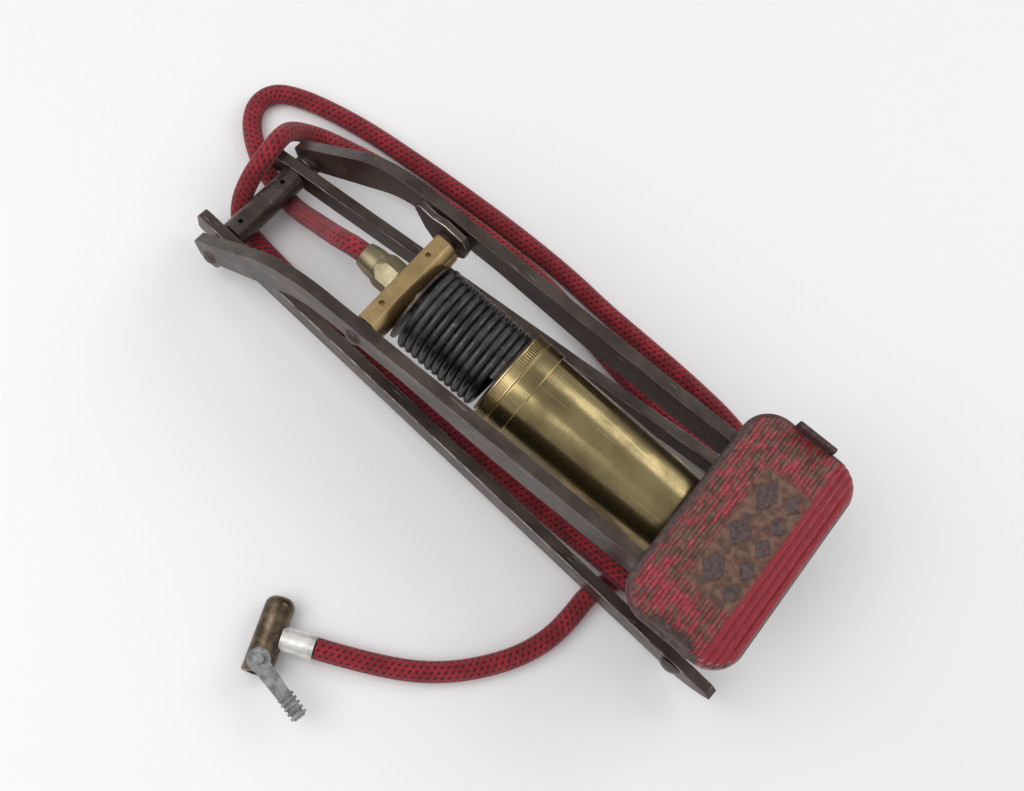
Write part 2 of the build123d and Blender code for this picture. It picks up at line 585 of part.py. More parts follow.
def parts():
    """Every node of the pump by name."""
    made = {}
    for name, side in (("left", -1), ("right", 1)):
        made[f"rail_{name}"] = rail(side)
        made[f"arm_{name}"] = arm(side)
    made["spacer_tube"] = spacer_tube()
    made["rear_pivot_pin"] = rear_pivot_pin()
    made["pivot_washers"] = pivot_washers()
    made["front_pin_rivets"] = front_pin_rivets()
    made["front_pin"] = front_pin()
    made["foot_spacers"] = foot_spacers()
    made["crosshead_pins"] = crosshead_pins()
    made["pedal"] = pedal()
    made["pedal_rivets"] = pedal_rivets()
    made["pedal_brackets"] = pedal_cheeks()
    made["crosshead"] = crosshead()
    made["union_nut"] = union_nut()
    made["hose_nipple"] = hose_nipple()
    made["piston_rod"] = piston_rod()
    made["upper_spring_seat"] = along(SPRING_START - SEAT_THICK, SPRING_START - RUN, 20, ROD_RADIUS + RUN)
    made["lower_spring_seat"] = along(RING_START - SEAT_THICK, RING_START - RUN, 20, ROD_RADIUS + GAP)
    made["return_spring"] = helix_spring()
    made["piston_body"] = piston_body()
    made["cup_leather"] = cup_leather()
    made["cup_retainer"] = cup_retainer()
    made["piston_nut"] = piston_nut()
    made["check_ball"] = check_ball()
    made["valve_seat"] = valve_seat()
    made["knurled_ring"] = knurled_ring()
    made["cap_band"] = cap_band()
    made["barrel"] = barrel()
    made["rod_guide"] = rod_guide()
    made["head_felt"] = head_felt()
    made["base_plug"] = base_plug()
    made["plug_gasket"] = plug_gasket()
    made["catch_plate"] = catch_plate()
    made["catch_washers"] = catch_washers()
    made["hose_lead"] = hose(LEAD_ROUTE, "hose_lead")
    made["hose_loop"] = hose(LOOP_ROUTE, "hose_loop")
    made["hose_over"] = hose(OVER_ROUTE, "hose_over")
    made["hose_tail"] = hose(TAIL_ROUTE, "hose_tail")
    made["ferrule"] = ferrule()
    made["chuck_body"] = chuck_body()
    made["chuck_washer"] = chuck_washer()
    made["chuck_pin"] = chuck_pin()
    made["chuck_lever"] = chuck_lever()
    return made


os.makedirs("parts", exist_ok=True)
for name, shape in parts().items():
    export_step(HOME * shape, f"parts/{name}.step")
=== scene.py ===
# %% [markdown]
# A folding foot pump, finished in Blender. The CAD gives the sizes, the places and the moving
# bodies; this lesson gives the looks: bevelled steel bars, scratched brass, a black spring,
# a ribbed pedal with worn red paint and a long braided hose.

# %% Load the frame
import json
from math import cos, hypot, pi, radians, sin

import bmesh
import bpy
from mathutils import Matrix, Vector, noise

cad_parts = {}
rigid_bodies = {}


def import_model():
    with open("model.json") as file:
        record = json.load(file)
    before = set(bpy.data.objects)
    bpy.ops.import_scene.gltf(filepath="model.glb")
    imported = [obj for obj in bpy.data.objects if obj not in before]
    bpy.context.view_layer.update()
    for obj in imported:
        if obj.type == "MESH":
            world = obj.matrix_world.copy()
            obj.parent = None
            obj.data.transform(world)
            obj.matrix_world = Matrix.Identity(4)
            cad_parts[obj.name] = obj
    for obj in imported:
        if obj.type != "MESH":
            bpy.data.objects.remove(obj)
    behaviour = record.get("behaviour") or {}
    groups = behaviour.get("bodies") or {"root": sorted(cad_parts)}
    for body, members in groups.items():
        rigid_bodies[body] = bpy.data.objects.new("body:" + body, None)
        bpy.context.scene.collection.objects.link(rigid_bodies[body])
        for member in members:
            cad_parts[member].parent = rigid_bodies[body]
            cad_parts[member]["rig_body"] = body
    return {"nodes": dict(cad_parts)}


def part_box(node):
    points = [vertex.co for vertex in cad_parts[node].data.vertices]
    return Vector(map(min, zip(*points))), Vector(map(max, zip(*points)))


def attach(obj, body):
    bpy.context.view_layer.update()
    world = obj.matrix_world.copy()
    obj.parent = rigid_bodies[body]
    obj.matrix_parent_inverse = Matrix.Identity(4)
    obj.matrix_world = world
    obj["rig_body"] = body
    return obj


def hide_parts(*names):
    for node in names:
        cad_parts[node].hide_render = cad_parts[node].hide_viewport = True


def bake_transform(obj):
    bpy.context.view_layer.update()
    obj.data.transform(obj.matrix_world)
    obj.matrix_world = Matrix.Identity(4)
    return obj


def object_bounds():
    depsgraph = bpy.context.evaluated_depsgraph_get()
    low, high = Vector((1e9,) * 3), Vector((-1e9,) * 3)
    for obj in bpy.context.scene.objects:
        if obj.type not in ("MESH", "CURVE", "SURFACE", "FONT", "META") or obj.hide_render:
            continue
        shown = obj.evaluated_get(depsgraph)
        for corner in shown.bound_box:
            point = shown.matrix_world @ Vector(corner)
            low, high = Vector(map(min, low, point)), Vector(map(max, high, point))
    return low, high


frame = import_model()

cad_low, cad_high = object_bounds()
nodes = frame["nodes"]
print("CAD box", [round(v, 4) for v in (*cad_low, *cad_high)])

# %% [markdown]
# The pump was drawn in a working frame: millimetres, X from the rear pivot towards the pedal and
# Z up from the floor. The rear pivot pin tells where that frame sits, so a working point can be
# turned into a point of the model.

# %% Working frame
PIVOT_HEIGHT = 16.4
TILT = radians(4.86)
pin_low, pin_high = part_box("rear_pivot_pin")
HOME = (pin_low + pin_high) / 2 - Vector((0, 0, PIVOT_HEIGHT)) / 1000


def at(x, y, z):
    """A point of the model from a working point in millimetres."""
    return HOME + Vector((x, y, z)) / 1000


CROSSHEAD_PLACE = (86, -3, 56.4)
CROSSHEAD = at(*CROSSHEAD_PLACE)
AXIS = Matrix.Translation(CROSSHEAD) @ Matrix.Rotation(TILT, 4, "Y") @ Matrix.Rotation(pi / 2, 4, "Y")
print("crosshead at", [round(v, 4) for v in CROSSHEAD])

# %% [markdown]
# The camera looks steeply down on the pump, which lies slanting across the picture. Its place
# and its two directions are written in the working frame, and the lens follows the view's width.

# %% Camera
scene = bpy.context.scene
scene.view_settings.view_transform = "Standard"
LOOK = Vector((-0.1031, 0.3545, -0.9293)).normalized()
UP = Vector((-0.6267, 0.7024, 0.3375)).normalized()
SIDE = LOOK.cross(UP).normalized()
SENSOR, LENS_SHARE = 36, 1226.21 / 1024
camera_data = bpy.data.cameras.new("camera")
camera_data.sensor_width = SENSOR
camera_data.lens = LENS_SHARE * SENSOR
camera = bpy.data.objects.new("camera", camera_data)
scene.collection.objects.link(camera)
turned = Matrix((SIDE, SIDE.cross(LOOK), -LOOK)).transposed()
camera.matrix_world = Matrix.Translation(at(207.8, -197.3, 546.1)) @ turned.to_4x4()
scene.camera = camera
print("camera at", [round(v, 3) for v in camera.location])

# %% [markdown]
# A shader is easier to read as arithmetic than as boxes and wires. `Field` wraps one socket, so
# that fields can be added, multiplied and compared, and `Finish` makes a material and its nodes.

# %% Shader arithmetic
def wire(value, socket):
    """Joins a field or socket to an input, or sets the input to a plain value."""
    value = value.socket if isinstance(value, Field) else value
    if isinstance(value, bpy.types.NodeSocket):
        socket.id_data.links.new(value, socket)
    else:
        socket.default_value = value


class Field:
    """One number that varies over a surface."""

    def __init__(self, socket):
        self.socket = socket

    def maths(self, operation, *others, clamp=False):
        node = self.socket.id_data.nodes.new("ShaderNodeMath")
        node.operation = operation
        node.use_clamp = clamp
        for socket, value in zip(node.inputs, (self, *others)):
            wire(value, socket)
        return Field(node.outputs[0])

    def __add__(self, other):
        return self.maths("ADD", other)

    def __sub__(self, other):
        return self.maths("SUBTRACT", other)

    def __rsub__(self, other):
        return self.maths("MULTIPLY", -1.0).maths("ADD", other)

    def __mul__(self, other):
        return self.maths("MULTIPLY", other)

    __radd__ = __add__
    __rmul__ = __mul__

    def over(self, low, high):
        """0 below low, 1 above high, smooth between."""
        node = self.socket.id_data.nodes.new("ShaderNodeMapRange")
        node.interpolation_type = "SMOOTHSTEP"
        for key, value in (("Value", self), ("From Min", low), ("From Max", high)):
            wire(value, node.inputs[key])
        return Field(node.outputs[0])

    def most(self, other):
        return self.maths("MAXIMUM", other)

    def size(self):
        return self.maths("ABSOLUTE")

    def wave(self):
        return self.maths("SINE")

    def share(self):
        return self.maths("FRACT")


def colour(red, green, blue):
    """A colour given in everyday 0 to 255 steps, as the shader wants it."""
    steps = [v / 255 for v in (red, green, blue)]
    return (*[v / 12.92 if v < 0.04 else ((v + 0.055) / 1.055) ** 2.4 for v in steps], 1.0)


# %% Material maker
class Finish:
    """A material whose pattern is placed by the object's own coordinates, in millimetres."""

    def __init__(self, name):
        self.material = bpy.data.materials.new(name)
        self.material.use_nodes = True
        self.tree = self.material.node_tree
        self.shader = self.tree.nodes["Principled BSDF"]
        place = self.node("TexCoord")
        self.normal = place.outputs["Normal"]
        self.place = self.moved(place.outputs["Object"], size=(1000, 1000, 1000))

    def node(self, kind, settings=None, inputs=None):
        made = self.tree.nodes.new("ShaderNode" + kind)
        for key, value in (settings or {}).items():
            setattr(made, key, value)
        for key, value in (inputs or {}).items():
            wire(value, made.inputs[key])
        return made

    def moved(self, place, shift=(0, 0, 0), turn=(0, 0, 0), size=(1, 1, 1)):
        inputs = {"Vector": place, "Location": shift, "Rotation": turn, "Scale": size}
        return self.node("Mapping", inputs=inputs).outputs[0]

    def noise(self, scale, detail=3.0, stretch=(1, 1, 1), place=None, turn=(0, 0, 0), shift=(0, 0, 0)):
        place = self.moved(place or self.place, shift=shift, turn=turn)
        place = self.moved(place, size=stretch)
        inputs = {"Vector": place, "Scale": scale, "Detail": detail, "Roughness": 0.6}
        return Field(self.node("TexNoise", inputs=inputs).outputs[0])

    def parts(self, vector):
        """The three fields of a vector."""
        return [Field(s) for s in self.node("SeparateXYZ", inputs={0: vector}).outputs]

    def mix(self, share, first, second):
        made = self.node("Mix", {"data_type": "RGBA"})
        for index, value in ((0, share), (6, first), (7, second)):
            wire(value, made.inputs[index])
        return made.outputs[2]

    def set(self, **values):
        for key, value in values.items():
            wire(value, self.shader.inputs[key.replace("_", " ")])

    def bump(self, height, distance, strength=1.0):
        """Height is a field from 0 to 1 that stands for distance in millimetres."""
        inputs = {"Height": height, "Distance": distance / 1000, "Strength": strength}
        wire(self.node("Bump", inputs=inputs).outputs[0], self.shader.inputs["Normal"])


# %% [markdown]
# The bars, arms and rivets are old steel that has gone brown and grey. Handling rubs the edges
# bright, so every steel piece gets two materials: one for its faces and one for its bevels.
# Faces that look in towards the cylinder get a darker, warmer brown: painted shade from the cylinder.

# %% Steel finishes
def old_steel(name, dark, light, inner_shade, shine):
    made = Finish(name)
    patches = made.noise(0.05, 4).over(0.35, 0.68)
    streaks = made.noise(0.16, 3, stretch=(0.25, 1, 1)).over(0.35, 0.75)
    grit = made.noise(1.3, 3)
    face = made.mix(patches * 0.6 + streaks * 0.4, dark, light)
    across = made.parts(made.place)[1]
    facing = made.parts(made.normal)[1]
    # painted shade: faces that look in towards the cylinder take the darker, warmer inner colour
    inward_shade = (across * facing).over(0.5, -6.0)
    face = made.mix(inward_shade * 0.8, face, inner_shade)
    scars = made.noise(0.5, 2, stretch=(0.12, 1, 1)).over(0.66, 0.74)
    made.set(Base_Color=made.mix(scars * 0.5, face, colour(150, 143, 136)), Metallic=0.55)
    made.set(Roughness=grit * 0.22 + shine - streaks * 0.08)
    made.bump(grit * 0.6 + patches * 0.4, 0.12, 0.5)
    return made.material


def rubbed_edge(name, bright, dull):
    made = Finish(name)
    share = made.noise(0.09, 4).over(0.38, 0.62)
    made.set(Base_Color=made.mix(share, dull, bright), Metallic=0.8, Roughness=made.noise(0.8) * 0.3 + 0.2)
    return made.material


STEEL = old_steel("bar_steel", colour(56, 47, 42), colour(94, 82, 75), colour(60, 40, 32), 0.26)
STEEL_EDGE = rubbed_edge("bar_steel_edge", colour(170, 164, 158), colour(84, 76, 72))
DARK_STEEL = old_steel("catch_steel", colour(60, 52, 50), colour(88, 78, 74), colour(60, 45, 40), 0.35)
DARK_EDGE = rubbed_edge("catch_steel_edge", colour(205, 198, 190), colour(120, 112, 106))
print("steel finishes made")

# %% [markdown]
# Brass shows where it was turned: fine rings round its axis, a few long scratches, and a dull
# olive film that handling has thinned. The film is a low noise, the rings a noise stretched
# along the axis, and both also change how rough the metal is.

# %% Brass finishes
def brass(name, film, clean, film_share, shine, scratch=0.5):
    made = Finish(name)
    turn = (0, -TILT, 0)
    cloud = made.noise(0.035, 4, turn=turn).over(0.36, 0.66)
    rings = made.noise(0.9, 2, stretch=(1, 0.03, 0.03), turn=turn)
    long_marks = made.noise(0.9, 2, stretch=(0.03, 1, 1), turn=turn).over(0.62, 0.7)
    specks = made.noise(1.6, 2).over(0.66, 0.72)
    tone = made.mix(cloud * film_share, clean, film)
    tone = made.mix(specks * 0.5, tone, colour(70, 58, 30))
    tone = made.mix(long_marks * scratch * 0.5, tone, colour(222, 205, 150))
    made.set(Base_Color=tone, Metallic=0.95)
    made.set(Roughness=rings * 0.1 + cloud * 0.14 + shine + specks * 0.2)
    made.bump(rings * 0.5 + long_marks * scratch, 0.03, 0.35)
    return made.material


BRASS = brass("barrel_brass", colour(98, 86, 60), colour(158, 142, 102), 0.8, 0.12)
GOLD = brass("crosshead_brass", colour(140, 116, 80), colour(206, 178, 128), 0.7, 0.16)
RING_BRASS = brass("ring_brass", colour(112, 99, 70), colour(182, 163, 120), 0.8, 0.2)
GOLD_EDGE = rubbed_edge("brass_edge", colour(236, 208, 140), colour(170, 140, 84))
NUT = brass("nut_nickel", colour(124, 114, 88), colour(178, 168, 138), 0.8, 0.24, 0.2)
print("brass finishes made")

# %% [markdown]
# The CAD's edges are sharp, and real ones never are. `machined` copies a CAD node, merges its
# loose triangles into whole faces, bevels every sharp edge and gives the bevels a material of
# their own. The copy replaces the node and rides on the same body.

# %% Machined copies
def finished(name, bm, body, *materials, smooth=True, sharp=40):
    """Turns a bmesh into a piece that rides on a body."""
    mesh = bpy.data.meshes.new(name)
    bm.to_mesh(mesh)
    bm.free()
    for material in materials:
        mesh.materials.append(material)
    if smooth:
        mesh.shade_smooth()
        mesh.set_sharp_from_angle(angle=radians(sharp))
    piece = bpy.data.objects.new(name, mesh)
    scene.collection.objects.link(piece)
    if body:
        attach(piece, body)
    return piece


def copied(node):
    """The node's own shape with its triangles joined."""
    bm = bmesh.new()
    bm.from_mesh(nodes[node].data)
    bmesh.ops.remove_doubles(bm, verts=bm.verts, dist=2e-6)
    bmesh.ops.dissolve_limit(bm, angle_limit=radians(0.6), verts=bm.verts, edges=bm.edges)
    return bm


def machined(node, face, edge=None, width=0.45, segments=2, sharp=32):
    """A bevelled copy of a CAD node."""
    bm = copied(node)
    edges = [e for e in bm.edges if len(e.link_faces) == 2 and e.calc_face_angle(0) > radians(sharp)]
    rounded = bmesh.ops.bevel(
        bm, geom=edges, offset=width / 1000, affect="EDGES", segments=segments, profile=0.5,
        material=-1, clamp_overlap=True,
    )
    for strip in rounded["faces"]:
        strip.material_index = 1 if edge else 0
    materials = [face, edge] if edge else [face]
    piece = finished(f"{node}_finish", bm, nodes[node]["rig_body"], *materials)
    piece.modifiers.new("even_shading", "WEIGHTED_NORMAL").keep_sharp = True
    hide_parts(node)
    return piece


for bar in ("rail_left", "rail_right", "arm_left", "arm_right"):
    machined(bar, STEEL, STEEL_EDGE, 0.55)
for small in ("spacer_tube", "rear_pivot_pin", "front_pin_rivets", "crosshead_pins", "pivot_washers"):
    machined(small, STEEL, STEEL_EDGE, 0.2)
machined("catch_plate", DARK_STEEL, DARK_EDGE, 0.7)
machined("crosshead", GOLD, GOLD_EDGE, 0.6)
machined("union_nut", NUT, NUT, 0.35)
machined("cap_band", BRASS, GOLD_EDGE, 0.4)
machined("barrel", BRASS, GOLD_EDGE, 0.3)
print("machined copies made")

# %% [markdown]
# The ring at the cylinder's head is knurled with fine straight teeth between two plain rims.
# A drum of many sides is made first; every other side is pushed out, which leaves the teeth.

# %% Knurled ring
TEETH = 104
RING_START, RING_LENGTH, RING_RADIUS = 59.0, 6.2, 23.3


def drum(bm, start, length, radius, sides):
    """A drum on the rod's axis, between two distances from the crosshead."""
    place = AXIS @ Matrix.Translation((0, 0, (start + length / 2) / 1000))
    made = bmesh.ops.create_cone(
        bm, cap_ends=True, segments=sides, radius1=radius / 1000, radius2=radius / 1000,
        depth=length / 1000, matrix=place,
    )
    return made["verts"]


knurl = bmesh.new()
drum(knurl, RING_START + 1.0, RING_LENGTH - 2.0, RING_RADIUS - 0.7, 2 * TEETH)
sides = [f for f in knurl.faces if len(f.verts) == 4]
teeth = bmesh.ops.extrude_discrete_faces(knurl, faces=sides[::2])["faces"]
for tooth in teeth:
    bmesh.ops.translate(knurl, vec=tooth.normal * 0.00064, verts=tooth.verts)
for start in (RING_START, RING_START + RING_LENGTH - 1.0):
    rim = drum(knurl, start, 1.0, RING_RADIUS, 96)
    loops = [e for v in rim for e in v.link_edges if e.calc_face_angle(0) > 1]
    bmesh.ops.bevel(
        knurl, geom=list(set(loops)), offset=0.00025, affect="EDGES", segments=2, profile=0.5, material=-1
    )
ring = finished("knurled_ring_finish", knurl, "cylinder", RING_BRASS)
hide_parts("knurled_ring")
print("knurled ring", len(ring.data.polygons), "faces")

# %% [markdown]
# The return spring is round wire wound coil on coil, enamelled black. Its two ends belong to
# different bodies; this copy is made once, closed, and rides on neither of them.

# %% Tubes along a line
def sleeve(name, points, radius, sides, ends=True):
    """A tube round a line of points, with a UV map: U round it, V along it in turns of its girth."""
    bm = bmesh.new()
    across = Vector((0, 0, 1)) if abs((points[1] - points[0]).normalized().z) < 0.9 else Vector((0, 1, 0))
    rings, spans, travelled = [], [], 0.0
    for i, point in enumerate(points):
        ahead = (points[min(i + 1, len(points) - 1)] - points[max(i - 1, 0)]).normalized()
        across = (across - ahead * across.dot(ahead)).normalized()
        other = ahead.cross(across)
        travelled += (point - points[i - 1]).length if i else 0.0
        spans.append(travelled / (2 * pi * radius))
        turns = [2 * pi * k / sides for k in range(sides)]
        rings.append([bm.verts.new(point + radius * (across * cos(a) + other * sin(a))) for a in turns])
    layer = bm.loops.layers.uv.new("UVMap")
    for i in range(len(rings) - 1):
        for k in range(sides):
            n = (k + 1) % sides
            skin = bm.faces.new((rings[i][k], rings[i][n], rings[i + 1][n], rings[i + 1][k]))
            marks = ((k, i), (k + 1, i), (k + 1, i + 1), (k, i + 1))
            for loop, (u, v) in zip(skin.loops, marks):
                loop[layer].uv = (u / sides, spans[v])
    if ends:
        bm.faces.new(rings[0][::-1])
        bm.faces.new(rings[-1])
    return bm


def black_enamel():
    made = Finish("spring_enamel")
    worn = made.noise(0.5, 3).over(0.58, 0.74)
    dust = made.noise(0.12, 3).over(0.4, 0.7)
    black = made.mix(dust, colour(28, 27, 29), colour(58, 55, 57))
    made.set(Base_Color=made.mix(worn * 0.5, black, colour(118, 112, 108)))
    made.set(Roughness=dust * 0.25 + 0.3, Metallic=0.2, Coat_Weight=0.2)
    made.bump(made.noise(1.4, 3), 0.1, 0.5)
    return made.material


ENAMEL = black_enamel()
TURNS, STEPS = 11.6, 30
COIL_START, COIL_END, COIL_RADIUS, WIRE = 12.95, 56.4, 18.9, 3.86
coil = []
for i in range(int(TURNS * STEPS) + 1):
    share = i / (TURNS * STEPS)
    turn = 2 * pi * i / STEPS
    lean = 0.35 * sin(turn * 1.03 + 0.7) * (1 - share)
    radius = COIL_RADIUS + 0.35 * noise.noise(Vector((share * 9, 0, 3)))
    along = COIL_START + (COIL_END - COIL_START) * share + lean
    coil.append(AXIS @ (Vector((radius * cos(turn), radius * sin(turn), along)) / 1000))
spring_bm = sleeve("return_spring_finish", coil, WIRE / 2000, 12)
spring = finished("return_spring_finish", spring_bm, None, ENAMEL, sharp=70)
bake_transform(spring)
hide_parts("return_spring")
print("spring", round(TURNS, 1), "turns")

# %% [markdown]
# The chuck is a bronze tube with a pale crimped ferrule and a grey zinc thumb lever. The lever's
# tip carries five grip ribs, which are small bars across it.

# %% Chuck finishes
def plain_metal(name, dark, light, metallic, rough, grain=0.4):
    made = Finish(name)
    share = made.noise(grain, 4).over(0.34, 0.66)
    grit = made.noise(2.2, 2)
    made.set(Base_Color=made.mix(share, dark, light), Metallic=metallic, Roughness=grit * 0.2 + rough)
    made.bump(grit, 0.08, 0.4)
    return made.material


BRONZE = plain_metal("chuck_bronze", colour(70, 58, 48), colour(118, 102, 82), 0.85, 0.2, 0.14)
BRONZE_EDGE = rubbed_edge("chuck_bronze_edge", colour(176, 158, 130), colour(110, 92, 70))
ZINC = plain_metal("lever_zinc", colour(104, 104, 104), colour(150, 150, 149), 0.5, 0.38, 0.3)
FERRULE = plain_metal("ferrule_tin", colour(205, 203, 200), colour(240, 238, 235), 0.55, 0.25, 0.2)
chuck_pieces = [
    machined("chuck_body", BRONZE, BRONZE_EDGE, 0.4),
    machined("ferrule", FERRULE, FERRULE, 0.4),
    machined("chuck_pin", ZINC, ZINC, 0.3),
    machined("chuck_lever", ZINC, ZINC, 0.4),
]

# %% Grip ribs
pin_low, pin_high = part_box("chuck_pin")
thumb_low, thumb_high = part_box("chuck_lever")
hub = (pin_low + pin_high) / 2
hub.z = thumb_high.z
outline = [Vector((v.co.x, v.co.y, hub.z)) for v in chuck_pieces[3].data.vertices]
reach = max((v - hub).length for v in outline)
far = [v for v in outline if (v - hub).length > 0.94 * reach]
tip = sum(far, Vector()) / len(far)
ahead = (tip - hub).normalized()
RIBS, RIB_INSET, RIB_PITCH = 5, 0.0012, 0.0023
ribs_bm = bmesh.new()
for k in range(RIBS):
    spot = tip - ahead * (RIB_INSET + RIB_PITCH * k)
    turned = Matrix((ahead, Vector((-ahead.y, ahead.x, 0)), Vector((0, 0, 1)))).transposed().to_4x4()
    size = Matrix.Diagonal((0.0012, 0.0074, 0.0018, 1))
    bar = bmesh.ops.create_cube(ribs_bm, size=1, matrix=Matrix.Translation(spot) @ turned @ size)["verts"]
    edges = list({e for v in bar for e in v.link_edges})
    bmesh.ops.bevel(ribs_bm, geom=edges, offset=0.0003, affect="EDGES", segments=2, profile=0.5, material=-1)
chuck_pieces.append(finished("lever_ribs", ribs_bm, nodes["chuck_lever"]["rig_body"], ZINC))
print("thumb lever reaches", round(reach * 1000, 1), "mm")

# %% [markdown]
# The hose is crimson cotton braid with a black tracer thread that shows as rows of flecks. Its
# line is one smooth NURBS curve through the pump: out of the nut, down under the rear tube,
# round the loops on the floor, up over itself and out to the chuck.

# %% Hose route
HOSE = 9.5
FLOOR = HOSE / 2
BACK = Vector((-cos(TILT), 0, sin(TILT)))
IN_NUT = Vector(CROSSHEAD_PLACE) + BACK * 17.7
OFF_NUT = Vector(CROSSHEAD_PLACE) + BACK * 25.7
ROUTE = [
    tuple(IN_NUT), tuple(OFF_NUT), (49, -2, 51.5), (38, 2.6, 38), (25.5, 7.6, 23.5), (8, 13.4, 5.3),
    (-6, 16.2, FLOOR), (-20.5, 20.3, FLOOR), (-33, 27.8, FLOOR), (-42.2, 36.2, FLOOR), (-46.4, 46, FLOOR),
    (-44, 55.6, FLOOR), (-34, 61.8, FLOOR), (-18, 66.8, FLOOR), (3, 71, FLOOR), (28, 73.4, FLOOR),
    (60, 75.8, FLOOR), (95, 77.2, FLOOR), (130, 76.8, FLOOR), (155, 74.2, FLOOR), (181, 73.4, FLOOR),
    (210, 72, FLOOR), (240, 69, FLOOR), (268, 57.5, FLOOR), (288, 36, FLOOR), (291, 8, FLOOR),
    (279, -14, FLOOR), (262, -26, 11), (247, -29.5, 15.4), (232, -29.0, 15.2), (214, -26.8, 8.6),
    (196, -25.5, FLOOR), (168, -24.6, FLOOR), (138, -24.8, FLOOR), (106, -22.5, FLOOR), (72, -19.5, FLOOR),
    (40, -16.5, FLOOR), (2, -12.2, 4.75), (-7.5, -9.2, 5.5), (-12.8, -2, 11.5), (-14, 7.5, 20.5),
    (-13.4, 17.5, 27.5), (-14.8, 27.5, 28.3), (-16.6, 36.5, 22.4), (-13.5, 45, 13.5), (-4.5, 52.5, 7.6),
    (32, 62, FLOOR), (68, 65.8, FLOOR), (104, 66.6, FLOOR), (136, 64, FLOOR), (167, 56.5, FLOOR),
    (204, 49.8, FLOOR), (234, 48.8, FLOOR), (258, 44, FLOOR), (272, 30, FLOOR), (273, 12, FLOOR),
    (262, -4, FLOOR), (245, -20, FLOOR), (233.5, -39, FLOOR), (233.8, -57, FLOOR), (231.5, -73, FLOOR),
    (223, -91, FLOOR), (206, -111.5, FLOOR), (183, -127, FLOOR), (156, -139, 6.7),
]
line = bpy.data.curves.new("hose_line", "CURVE")
line.dimensions = "3D"
spline = line.splines.new("NURBS")
spline.points.add(len(ROUTE) - 1)
for point, place in zip(spline.points, ROUTE):
    point.co = (*at(*place), 1.0)
spline.order_u = 3
spline.use_endpoint_u = True
spline.resolution_u = 14
line_holder = bpy.data.objects.new("hose_line", line)
read_off = bpy.data.meshes.new_from_object(line_holder)
hose_points = [v.co.copy() for v in read_off.vertices]
bpy.data.objects.remove(line_holder)
hose_length = sum((b - a).length for a, b in zip(hose_points, hose_points[1:]))
print("hose", len(hose_points), "points,", round(hose_length, 3), "m")

# %% [markdown]
# Close up, each fleck is a short dark stitch, and the stitches sit in staggered rows round the
# hose. The pattern is counted on the UV map, so it follows every bend; a finer crossing wave
# gives the threads, and loose fibres lighten the red here and there.

# %% Braid finish
def braid():
    made = Finish("hose_braid")
    uv = made.node("UVMap", {"uv_map": "UVMap"}).outputs[0]
    around, along, _ = made.parts(uv)
    columns = around * 12
    column = columns.maths("FLOOR")
    rows = along * 9.6 + column * 0.5 + columns.share() * 0.45
    across = (columns.share() - 0.5).size()
    down = (rows.share() - 0.5).size()
    ragged = made.noise(1.3, 3) * 0.3
    fleck = (across + ragged).over(0.52, 0.36) * (down + ragged).over(0.42, 0.28)
    threads = (along * (2 * pi * 26) + around * (2 * pi * 24)).wave()
    crossing = (along * (2 * pi * 26) - around * (2 * pi * 24)).wave()
    weave = (threads.most(crossing) + 1.0) * 0.5
    fade = made.noise(0.12, 4).over(0.35, 0.7)
    red = made.mix(fade, colour(132, 16, 32), colour(168, 32, 48))
    red = made.mix(weave.over(0.75, 0.2) * 0.45, red, colour(96, 8, 22))
    lint = made.noise(1.6, 3).over(0.62, 0.72)
    red = made.mix(lint * 0.25, red, colour(206, 84, 96))
    made.set(Base_Color=made.mix(fleck * 0.92, red, colour(20, 9, 12)), Roughness=0.85)
    made.set(Sheen_Weight=0.15, Sheen_Roughness=0.5)
    made.bump(weave * 0.6 + made.noise(1.5, 2) * 0.3 - fleck * 0.5, 0.35, 0.8)
    return made.material


BRAID = braid()


def nearest(place):
    """The index of the hose point nearest to a working point."""
    goal = at(*place)
    return min(range(len(hose_points)), key=lambda i: (hose_points[i] - goal).length)


lead_end = nearest((16.75, 10.5, 14.4))
under_end = nearest((-44, 40, FLOOR))
spans = {
    "hose_lead_braid": hose_points[: lead_end + 1],
    "hose_under_braid": hose_points[lead_end : under_end + 1],
    "hose_braid": hose_points[under_end:],
}
for name, points in spans.items():
    tube = finished(name, sleeve(name, points, HOSE / 2000, 28), None, BRAID, sharp=80)
    length = sum((b - a).length for a, b in zip(points, points[1:]))
    if name == "hose_lead_braid":
        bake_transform(tube)
        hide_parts("hose_lead")
    elif name == "hose_under_braid":
        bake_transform(tube)
    else:
        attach(tube, "base")
        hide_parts("hose_loop", "hose_over", "hose_tail")
    print(name, round(length, 3), "m")

# %% [markdown]
# The pedal is a cast plate with fine ribs for grip, wide smooth ribs at its front and a plain
# panel with raised lozenges. A fine grid is pressed into that relief point by point: `relief`
# gives the height, and the corners of the square grid are drawn in to a rounded outline.

# %% Pedal shape
PEDAL_REAR, PEDAL_DEPTH, PEDAL_HALF = 238.0, 55.5, 55.4
PEDAL_UNDER, PEDAL_THICK, CORNER, ROLL = 68.75, 5.15, 15.0, 3.2
PANEL = (18.5, 41.5, 31.0)
LIP_X, LIP_RISE, LIP_SIZE = 265.2, 7.4, (0.0198, 0.0027, 0.0068)


def smooth_step(value, low, high):
    share = min(1.0, max(0.0, (value - low) / (high - low)))
    return share * share * (3 - 2 * share)


def lozenge(x, y, centre_x, centre_y, half_x, half_y):
    """1 inside a rounded diamond, 0 outside, with a short slope."""
    reach = abs(x - centre_x) / half_x + abs(y - centre_y) / half_y
    return 1 - smooth_step(reach, 0.86, 1.08)


